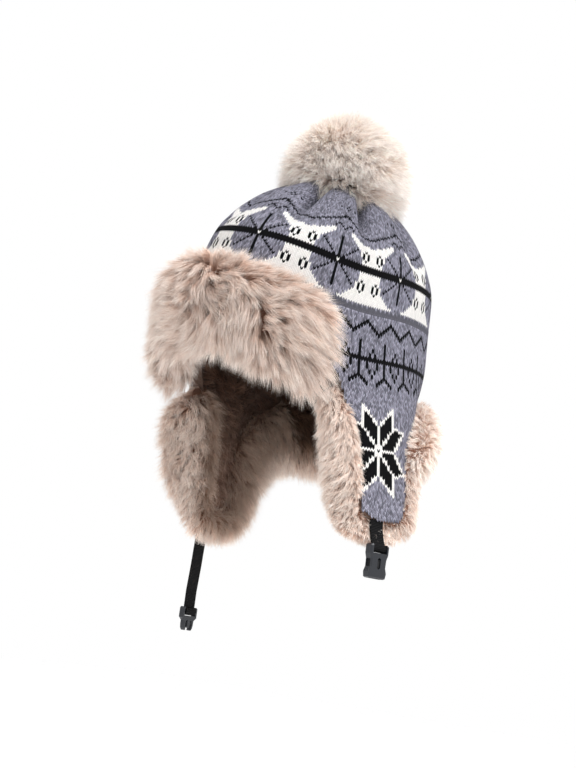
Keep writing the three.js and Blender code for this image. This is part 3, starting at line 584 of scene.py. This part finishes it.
def drift(points, size, seed):
    """A smooth wandering direction for each point, for locks that lie this way and that."""
    rng = np.random.default_rng(seed)
    wander = np.zeros_like(points)
    for octave in range(3):
        waves = rng.normal(size=(3, 3)) * (1.6 ** octave) / size
        phases = rng.uniform(0, 2 * math.pi, 3)
        wander += np.sin(points @ waves + phases) / (1.3 ** octave)
    return wander / 1.6


def pile(rng, root, normal, lay, length, per_lock=24, lift=0.5, pull=0.5, wild=0.26, width=0.15,
         sag=0.0, tint=(FUR_ROOT, FUR_MIDDLE, FUR_TIP), shade=None):
    """Fur as thin tapered blades that lean together in locks: points, faces and colours."""
    count = len(root)
    length = np.broadcast_to(length, (count,))[:, None]
    chosen = rng.permutation(count)[:max(count // per_lock, 1)]
    tree = kdtree.KDTree(len(chosen))
    for index, place in enumerate(root[chosen]):
        tree.insert(place, index)
    tree.balance()
    home = np.array([tree.find(place)[1] for place in root])
    heading = unit(lay[chosen] + normal[chosen] * lift + rng.normal(size=(len(chosen), 3)) * wild)[home]
    own = unit(heading + (lay + normal * lift) * 0.35 + rng.normal(size=(count, 3)) * wild)
    lock_length = (length[chosen] * rng.uniform(0.8, 1.15, (len(chosen), 1)))[home]
    together = root[chosen][home] + heading * lock_length
    end = root + own * length * rng.uniform(0.62, 1.1, (count, 1))
    end = end + (together - end) * pull * rng.uniform(0.4, 1.2, (count, 1))
    end[:, 2] -= length[:, 0] * sag
    bend = root + (normal * (0.4 + lift * 0.5) + heading * 0.35) * length * 0.5
    stations = np.array([0.0, 0.5, 1.0])[:, None, None]
    path = (1 - stations) ** 2 * root + 2 * stations * (1 - stations) * bend + stations ** 2 * end
    aside = unit(np.cross(end - root, rng.normal(size=(count, 3))))
    half = width * rng.uniform(0.7, 1.3, (count, 1))
    sides = []
    for station, share in ((0, 1.0), (1, 0.85)):
        sides += [path[station] + aside * half * share * sign for sign in (-1, 1)]
    points = np.stack(sides + [path[2]], 1)
    base = np.arange(count)[:, None] * points.shape[1]
    quads = base + [0, 1, 3, 2]
    tris = base + [2, 3, 4]
    tone = rng.uniform(0.84, 1.14, len(chosen))[home] * rng.uniform(0.9, 1.08, count)
    ramp = np.array([0.0, 0.0, 0.5, 0.5, 1.0]) + rng.uniform(-0.08, 0.12, (count, 1))
    ramp = np.clip(ramp, 0, 1)[..., None]
    low = tint[0] + (tint[1] - tint[0]) * np.clip(ramp / 0.45, 0, 1)
    colour = low + (tint[2] - low) * np.clip((ramp - 0.45) / 0.55, 0, 1)
    colour = colour * tone[:, None, None]
    # Painted shade: shade darkens the colours, and makes them warmer the darker they get
    if shade is not None:
        colour = colour * shade[:, None, None] ** np.array([1, 1.25, 1.45])
    colour = np.clip(colour, 0, 1)
    return points.reshape(-1, 3), quads, tris, colour.reshape(-1, 3)


def fur_piece(name, body, hair, body_colour):
    """Joins a backing, as (points, quads, tris), and its pile into one object."""
    points, quads, tris = body
    hair_points, hair_quads, hair_tris, hair_colour = hair
    shift = len(points)
    colour = np.concatenate([np.tile(body_colour, (shift, 1)), hair_colour])
    return mesh_object(
        name, np.concatenate([points, hair_points]), np.concatenate([quads, hair_quads + shift]),
        np.concatenate([tris, hair_tris + shift]), colour=colour)


def fur_finish_of():
    """Long artificial fur: soft, with its tint in the pile and a broken-up backing."""
    item, shader, start = finish_of("pale_fur", 0.7)
    tint = start.make("Attribute", {"attribute_name": "tint"}, {})
    place = start.make("TexCoord", {}, {}, "Object")
    strand = start.make("TexNoise", {}, {"Vector": place, "Scale": 260.0, "Detail": 3.0})
    dyed = start.make("VectorMath", {"operation": "SCALE"}, {0: tint, "Scale": strand * 0.4 + 0.84})
    plug(shader, "Base Color", dyed)
    shader.inputs["Specular IOR Level"].default_value = 0.25
    return item


fur_finish = fur_finish_of()

# The pad's half length round the brow, its thickness, its gap to the knit and how many rings
FRONT_REACH, FRONT_THICKNESS, FRONT_GAP, FRONT_STATIONS = 82, 19, 0.8, 49
# How far its middle line lies under the seam, and how much lower its ends and its right end are
FRONT_SUNK, FRONT_ENDS_SUNK, FRONT_RIGHT_SUNK, FRONT_BEND = 14, 16, 15, 2.4
# How far it bulges up, and hangs down at the middle and further towards each end
FRONT_ABOVE, FRONT_HANG, FRONT_HANG_LEFT, FRONT_HANG_RIGHT = 5, 46, 31, 44
rng = np.random.default_rng(21)
section = through(FRONT_SECTION, 4, closed=True)
place = np.linspace(-1, 1, FRONT_STATIONS)[:, None]
round_end = np.sqrt(1 - np.abs(place) ** FRONT_BEND * 0.9)
up_share, out_share = section[None, :, 0], section[None, :, 1]
sunk = FRONT_ENDS_SUNK * np.abs(place) ** FRONT_BEND
hang = FRONT_HANG + np.where(place > 0, FRONT_HANG_LEFT, FRONT_HANG_RIGHT) * place ** 2
hang = hang * (0.65 + 0.35 * round_end)
rise = np.where(up_share > 0, up_share * FRONT_ABOVE, up_share * (hang - sunk))
rise = rise - FRONT_SUNK - sunk + FRONT_RIGHT_SUNK * np.minimum(place, 0)
offset = FRONT_GAP + np.clip(out_share, 0, 2) * FRONT_THICKNESS * (0.25 + 0.75 * round_end)
front_length = np.broadcast_to(place * FRONT_REACH, rise.shape)
front_grid = wall_place(front_length, seam_drop(front_length, offset) - rise, offset)
showing = np.broadcast_to(np.where((out_share > 0.15) | (up_share > 0.5), 1.0, 0.02), rise.shape)
root, normal, mixed, along = scatter(rng, front_grid, True, 60000, showing)
outward = unit(root - front_grid.mean(1)[np.round(along * (FRONT_STATIONS - 1)).astype(int)])
normal = facing(normal, outward)
height_share = mixed(np.broadcast_to(up_share, rise.shape).copy())
down = np.clip((0.55 - height_share) / 0.5, -0.25, 1)[:, None] * np.array([[0, 0, -1.0]])
bearing = (along - 0.5) * 1.6
fan = (along[:, None] - 0.5) * 1.1 * np.stack([np.cos(bearing), np.sin(bearing), 0 * along], -1)
lay = laid(unit(down + fan + drift(root, 26, 5) * 0.75), normal)
hair = pile(rng, root, normal, lay, 25.0, per_lock=34, lift=0.6, pull=0.55, sag=0.18)
front_piece = fur_piece("front_pile", capped(front_grid), hair, FUR_BACKING_SHADE)
front_piece.data.materials.append(fur_finish)
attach(front_piece, "root")
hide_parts("front_fur")

# Fur edging
# Strips of the same fur sewn round each flap and, wider, across the nape. The pile lies
# outwards from the knit's edge; inside the flaps, where little light reaches, its colour is
# darkened with painted shade, and the back edge of the left flap is brightened with painted light.

# Section: from the knit's edge to the fur's edge and back inside, then how far it stands out
# on the outside and bulges on the inside
TRIM_SECTION = [
    (0, 0.05, 0), (0.14, 0.65, 0), (0.42, 1, 0), (0.78, 0.7, 0), (1, 0, -0.55), (0.93, 0, 0.3),
    (0.62, 0, 1), (0.25, 0, 0.85), (0, 0, 0.05)]
TRIM_WIDTH, NAPE_FUR_WIDTH, WALL = 27.0, 55.0, 12.4
TRIM_PROUD, NAPE_PROUD, TRIM_INWARD, TRIM_SUNK, STRAP_CHANNEL = 13, 24, 7.0, 2, 5
EDGE_DEPTH, NAPE_ROWS = 0.45, 7
# Which row of the section is the fur's edge, steps between two rows, and points of a ring
EDGE_ROW, RING_STEPS = 4, 4
RING_POINTS = len(TRIM_SECTION) * RING_STEPS
trim_table = np.column_stack([OUTLINE[:, 1] * HALF_GIRTH, outline_drops, OUTLINE[:, 3:]])
nape_middle = np.array([HALF_GIRTH, NAPE_DROP, 0, 1, 0])
nape_table = np.linspace(trim_table[-1], nape_middle, NAPE_ROWS + 1)[1:]
half_table = np.concatenate([trim_table, nape_table])


def trim_grid(table, side, steps, standing=1.0):
    """Rings of an edging strip along rows of (place, drop, slant, nape, low), and how flat
    each lies. Its outside stands out by a share of the usual."""
    rows = through(table, steps)
    place, drop, slant, nape, low = (rows[:, k, None] for k in range(5))
    width = TRIM_WIDTH + (NAPE_FUR_WIDTH - TRIM_WIDTH) * np.clip(nape, 0, 1)
    slant = np.radians(slant)
    low = np.clip(low, 0, 1)
    proud = TRIM_PROUD * standing
    proud = proud + (NAPE_PROUD - proud) * np.clip(nape, 0, 1)
    proud = proud + (-TRIM_SUNK - proud) * low
    section = np.array(TRIM_SECTION)
    across, out, inward = section.T
    inside = np.arange(len(section)) > EDGE_ROW
    depth = np.where(inside, -WALL - inward * TRIM_INWARD, out * proud - low * STRAP_CHANNEL)
    depth = np.where(across == 1, -WALL * EDGE_DEPTH, depth)
    length = side * (place + np.sin(slant) * width * across)
    rings = wall_place(length, drop + np.cos(slant) * width * across, depth)
    smooth = np.stack([through(ring, RING_STEPS, closed=True) for ring in rings])
    return smooth, low[:, 0]


def edging(name, node, grid, low, size, painted_inside_light, seed, count, length, painted_light=1.0):
    """One strip of edging on the rings of a grid, with so many hairs of a length. Its body is
    a share of the grid's size; its inside's colour is darkened by a factor as painted shade, and a
    last factor brightens the hair's colour as painted light."""
    rng = np.random.default_rng(seed)
    middle = grid.mean(1, keepdims=True)
    edge_in = (grid[:, 0] + grid[:, -1]) / 2
    body = edge_in[:, None] + (grid - edge_in[:, None]) * size[:, None, None]
    step = np.arange(RING_POINTS)
    haired = np.where(step >= RING_POINTS - RING_STEPS, 0, np.where(step < RING_STEPS, 0.9, 1.0))
    root, normal, _, along = scatter(rng, body, True, count, np.tile(haired, (len(body), 1)))
    spot = np.round(along * (len(body) - 1)).astype(int)
    outward = unit(root - middle[spot, 0])
    normal = facing(normal, outward)
    across = grid[:, EDGE_ROW * RING_STEPS] - edge_in
    to_edge = unit(across)[spot]
    reach = ((root - edge_in[spot]) * to_edge).sum(-1) / np.linalg.norm(across, axis=-1)[spot]
    way = np.clip(reach / 0.2, 0.35, 1)[:, None]
    lay = unit(to_edge * way * 1.3 + np.array([[0, 0, -0.5]]) + drift(root, 24, seed) * 0.55)
    lay = laid(lay, normal)
    hair_length = length * (1 - 0.45 * low[spot]) * np.clip(size[spot] / 0.62, 0.7, 1.1)
    hair_length = hair_length * np.clip(0.55 + reach * 2, 0.55, 1)
    # Painted shade: hair on a flap's inside, back from its edge, is darkened
    inside = smoothstep(-(outward * unit(root * [1, 1, 0])).sum(-1), -0.2, 0.3)
    shade = 1 - inside * (1 - painted_inside_light) * (1 - smoothstep(reach / size[spot], 0.6, 1))
    shade = shade * np.broadcast_to(painted_light, len(body))[spot]
    hair = pile(
        rng, root, normal, lay, hair_length, per_lock=18, lift=0.8, pull=0.4, wild=0.3, sag=0.1,
        tint=(linear(196, 160, 140), linear(236, 212, 197), linear(254, 247, 240)), shade=shade)
    # Painted shade: the body's colour is scaled by the same inside factor
    piece = fur_piece(name, capped(body), hair, FUR_BACKING_SHADE * painted_inside_light * 1.3)
    piece.data.materials.append(fur_finish)
    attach(piece, "root")
    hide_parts(node)


FLAP_FIRST, FLAP_LAST, FLAP_STEPS, NAPE_STEPS = 2, 19, 6, 4
flap_table = half_table[FLAP_FIRST:FLAP_LAST + 1]
left_grid, left_low = trim_grid(flap_table, 1, FLAP_STEPS, standing=0.45)
right_grid, right_low = trim_grid(flap_table, -1, FLAP_STEPS)
# Shares of the way round a flap from its front: thin at the left strap, full behind it, and
# closed to a round start on the right, which shows under the front's end
flap_share = np.linspace(0, 1, len(left_grid))
left_size = 0.62 - 0.24 * np.exp(-((flap_share - 0.56) / 0.14) ** 2)
left_size = left_size + 0.3 * smoothstep(flap_share, 0.62, 0.8)
right_size = 0.76 + 0.22 * smoothstep(flap_share, 0.5, 0.72)
right_size = right_size + 0.2 * (1 - smoothstep(flap_share, 0.08, 0.25))
right_size = right_size * np.sqrt(1 - (1 - np.clip(flap_share / 0.05, 0.04, 1)) ** 2)
right_low = right_low * smoothstep(flap_share, 0.1, 0.3)
# Painted light: the left flap's back edge is brightened
edging("trim_left_pile", "trim_left", left_grid, left_low, left_size, painted_inside_light=1.0, seed=31,
       count=50000, length=15.0, painted_light=1 + 0.14 * smoothstep(flap_share, 0.58, 0.7))
edging("trim_right_pile", "trim_right", right_grid, right_low, right_size, painted_inside_light=0.62, seed=32,
       count=42000, length=18.0)
nape_half = half_table[FLAP_LAST:]
nape_rings, other_rings = (trim_grid(nape_half, side, NAPE_STEPS)[0] for side in (1, -1))
nape_grid = np.concatenate([nape_rings, other_rings[::-1][1:]])
nape_size = 0.72 + 0.33 * smoothstep(np.linspace(0, 1, len(nape_grid)), 0.6, 0.9)
edging("trim_nape_pile", "trim_nape", nape_grid, np.zeros(len(nape_grid)), nape_size, painted_inside_light=0.2,
       seed=33, count=26000, length=17.0)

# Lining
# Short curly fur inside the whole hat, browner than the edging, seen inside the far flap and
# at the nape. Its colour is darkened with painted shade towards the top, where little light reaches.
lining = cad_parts["fur_lining"]
lining_finish, lining_shader, start = finish_of("lining_fur", 0.9)
place = start.make("TexCoord", {}, {}, "Object")
tuft = start.make("TexNoise", {}, {"Vector": place, "Scale": 180.0, "Detail": 4.0})
lining_tint = start.make("Mix", {"data_type": "RGBA"}, {
    0: tuft, 6: (*linear(112, 84, 68), 1), 7: (*linear(166, 136, 120), 1)}, 2)
# Painted shade: the lining's colour darkens towards the top inside the hat
deep = start.make("MapRange", {}, {
    "Value": start.make("SeparateXYZ", {}, {0: place}, 2), "From Min": -0.07, "From Max": 0.03,
    "To Min": 0.85, "To Max": 0.1})
lining_tint = start.make("VectorMath", {"operation": "SCALE"}, {0: lining_tint, "Scale": deep})
plug(lining_shader, "Base Color", lining_tint)
plug(lining_shader, "Normal", start.make("Bump", {}, {"Height": tuft, "Distance": 0.003}))
lining.data.materials.clear()
lining.data.materials.append(lining_finish)

# Its loose pile stands on the solid, from beside the brow round the nape: where it starts, its
# top's drop, and its depth in from the knit's outside
PILE_START, PILE_TOP, PILE_DEPTH = 70, 5, 12.2
rng = np.random.default_rng(41)
lining_lengths = np.linspace(PILE_START, 2 * HALF_GIRTH - PILE_START, 160)
lining_edge = np.interp(HALF_GIRTH - np.abs(lining_lengths - HALF_GIRTH), edge_places, edge_drops)
lining_shares = np.linspace(-0.25, 1, 40)
lining_drops = PILE_TOP + (lining_edge[:, None] - PILE_TOP) * lining_shares[None]
lining_lengths = np.broadcast_to(lining_lengths[:, None], lining_drops.shape)
lining_grid = wall_place(lining_lengths, lining_drops, -PILE_DEPTH)
root, normal = scatter(rng, lining_grid, False, 22000)[:2]
normal = facing(normal, -unit(root * [1, 1, 0]))
lay = laid(unit(np.array([[0, 0, -1.0]]) + drift(root, 18, 42)), normal)
# Painted shade: the pile's colour darkens towards the top, where little light reaches
points, quads, tris, colour = pile(
    rng, root, normal, lay, 12.0, lift=0.7, wild=0.35, width=0.2,
    tint=(linear(124, 92, 76), linear(176, 146, 130), linear(214, 190, 176)),
    shade=0.85 - 0.75 * smoothstep(root[:, 2], -80, 35))
lining_pile = mesh_object("lining_pile", points, quads, tris, colour=colour)
lining_pile.data.materials.append(fur_finish)
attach(lining_pile, "root")

# Fur ball
# A ball of the same long fur, tied down on the gathered top and a little flattened under.
rng = np.random.default_rng(51)
BALL_SHIFT, BALL_RISE, BALL_CORE, BALL_PILE = -4.0, 106.0, 34.0, 29.0
polar = np.radians(np.linspace(1, 128, 26))[:, None]
turns = np.linspace(0, 2 * math.pi, 48, endpoint=False)[None]
ball_grid = leaned(np.stack([
    BALL_SHIFT + BALL_CORE * np.sin(polar) * np.cos(turns), BALL_CORE * np.sin(polar) * np.sin(turns),
    BALL_RISE + BALL_CORE * np.cos(polar) * np.ones_like(turns)], -1))
ball_middle = leaned(np.array([BALL_SHIFT, 0, BALL_RISE]))
root = scatter(rng, ball_grid, True, 60000)[0]
normal = unit(root - ball_middle)
lay = laid(drift(root, 20, 52) * 0.55 + np.array([[0, 0, -0.15]]), normal)
# Its tints are paler than the pad's: partly the ball's own colour and partly painted light, as it sits on
# top in the light
hair = pile(rng, root, normal, lay, BALL_PILE, per_lock=22, lift=1.8, pull=0.36, wild=0.26, sag=0.04,
            tint=(linear(222, 186, 166), linear(252, 235, 223), linear(255, 254, 252)))
ball = fur_piece("fur_ball", capped(ball_grid[::-1]), hair, FUR_BACKING_SHADE)
ball.data.materials.append(fur_finish)
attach(ball, "root")
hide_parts("pompom")

# Straps
# Flat black webbing, folded round the bar of each buckle half, its upper end in under the
# edging at the flap's tip.
webbing, webbing_shader, start = finish_of("webbing", 0.75)
place = start.make("TexCoord", {}, {}, "Object")
ribs = start.make("TexWave", {"bands_direction": "Z"}, {"Vector": place, "Scale": 260.0, "Distortion": 0.6})
shade = start.make("Mix", {"data_type": "RGBA"}, {
    0: ribs, 6: (*linear(2, 2, 3), 1), 7: (*linear(14, 14, 16), 1)}, 2)
plug(webbing_shader, "Base Color", shade)
webbing_shader.inputs["Specular IOR Level"].default_value = 0.15
plug(webbing_shader, "Normal", start.make("Bump", {}, {"Height": ribs, "Distance": 0.0004}))
for name in ("strap_left", "strap_right"):
    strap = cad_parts[name]
    strap.data.materials.clear()
    strap.data.materials.append(webbing)

# Buckle
# Moulded slate-grey plastic: the socket half on the left strap, the pronged half on the right.
plastic, plastic_shader, start = finish_of("slate_plastic", 0.38)
place = start.make("TexCoord", {}, {}, "Object")
grain = start.make("TexNoise", {}, {"Vector": place, "Scale": 1500.0, "Detail": 2.0})
plastic_shader.inputs["Base Color"].default_value = (*linear(24, 27, 34), 1)
plug(plastic_shader, "Normal", start.make("Bump", {}, {"Height": grain, "Distance": 0.00008}))
for name in ("buckle_female", "buckle_male"):
    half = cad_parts[name]
    half.data.materials.clear()
    half.data.materials.append(plastic)

# Studio
# White all round, a plain pale floor under the hat and one large soft light from the upper
# right, as in the photograph.
bpy.context.scene.view_settings.view_transform = "Standard"
world = bpy.data.worlds.new("studio")
bpy.context.scene.world = world
world.use_nodes = True
world.node_tree.nodes["Background"].inputs["Color"].default_value = (1, 1, 1, 1)
world.node_tree.nodes["Background"].inputs["Strength"].default_value = 1.0

floor_finish, floor_shader, start = finish_of("floor_white", 0.9)
floor_shader.inputs["Base Color"].default_value = (1, 1, 1, 1)
bpy.ops.mesh.primitive_plane_add(size=14, location=(0, 0, -0.62))
floor = bpy.context.object
floor.name = "floor"
floor.data.materials.append(floor_finish)

to_lamp = right * 0.8 + up * 1.5 + back * 0.5
lamp = bpy.data.lights.new("key", "AREA")
lamp.shape, lamp.size, lamp.energy = "DISK", 0.9, 30
key = bpy.data.objects.new("key", lamp)
bpy.context.scene.collection.objects.link(key)
key.location = aim + to_lamp.normalized() * 1.8
key.rotation_euler = (-to_lamp).to_track_quat("-Z", "Y").to_euler()
